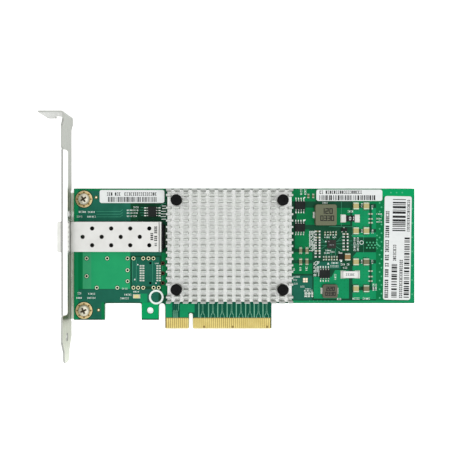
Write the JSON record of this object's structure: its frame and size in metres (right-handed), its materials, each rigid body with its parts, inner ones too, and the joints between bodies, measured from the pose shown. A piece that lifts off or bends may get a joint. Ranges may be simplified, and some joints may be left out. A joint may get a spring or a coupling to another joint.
{
  "type": "network interface card",
  "caption": "Low-profile network card with one module cage, a pinned heatsink, a card-edge connector and a full-height bracket.",
  "frame": {"origin": "middle of the key notch in x, tips of the edge fingers in y, component face of the board in z", "axes": "+X away from the bracket along the board, +Y to the board's top edge, +Z out of the component face"},
  "size_m": [0.1812, 0.12, 0.0217],
  "materials": {
    "solder_mask": "smooth green solder mask over copper",
    "gold_contact": "thin gold plating",
    "bracket_steel": "nickel plated sheet",
    "screw_steel": "nickel plated",
    "heatsink_aluminium": "clear anodised, extruded and sawn",
    "black_nylon": "moulded",
    "spring_steel": "drawn wire",
    "pad_rubber": "soft thermal pad",
    "chip_black": "moulded epoxy",
    "cage_steel": "nickel plated thin sheet",
    "collar_steel": "spring temper sheet",
    "tin_lead": "tin plated",
    "ferrite": "pressed powder",
    "capacitor_ceramic": "fired ceramic",
    "fuse_ceramic": "fired ceramic",
    "lamp_resin": "cast resin",
    "label_paper": "coated label stock"
  },
  "bodies": {
    "root": {"circuit_board": "solder_mask", "edge_contacts_component_side": "gold_contact", "edge_contacts_solder_side": "gold_contact", "bracket": "bracket_steel", "bracket_screws": "screw_steel", "controller_chip": "chip_black", "thermal_pad": "pad_rubber", "heatsink": "heatsink_aluminium", "push_pins": "black_nylon", "push_pin_springs": "spring_steel", "cage_shell": "cage_steel", "cage_floor": "cage_steel", "cage_ground_collar": "collar_steel", "module_connector": "black_nylon", "module_connector_contacts": "gold_contact", "memory_chip": "chip_black", "memory_chip_leads": "tin_lead", "power_transistors": "chip_black", "power_transistor_leads": "tin_lead", "power_controller": "chip_black", "large_inductor": "ferrite", "small_inductor": "ferrite", "inductor_clips": "tin_lead", "sense_resistor": "chip_black", "sense_resistor_ends": "tin_lead", "fuse": "fuse_ceramic", "fuse_ends": "tin_lead", "small_transistor": "chip_black", "small_transistor_leads": "tin_lead", "rectifier_diode": "chip_black", "rectifier_diode_tabs": "tin_lead", "status_lamp": "lamp_resin", "status_lamp_ends": "tin_lead", "large_capacitors": "capacitor_ceramic", "large_capacitor_ends": "tin_lead", "medium_capacitors": "capacitor_ceramic", "medium_capacitor_ends": "tin_lead", "left_label": "label_paper", "right_label": "label_paper", "long_label": "label_paper"}
  },
  "joints": []
}
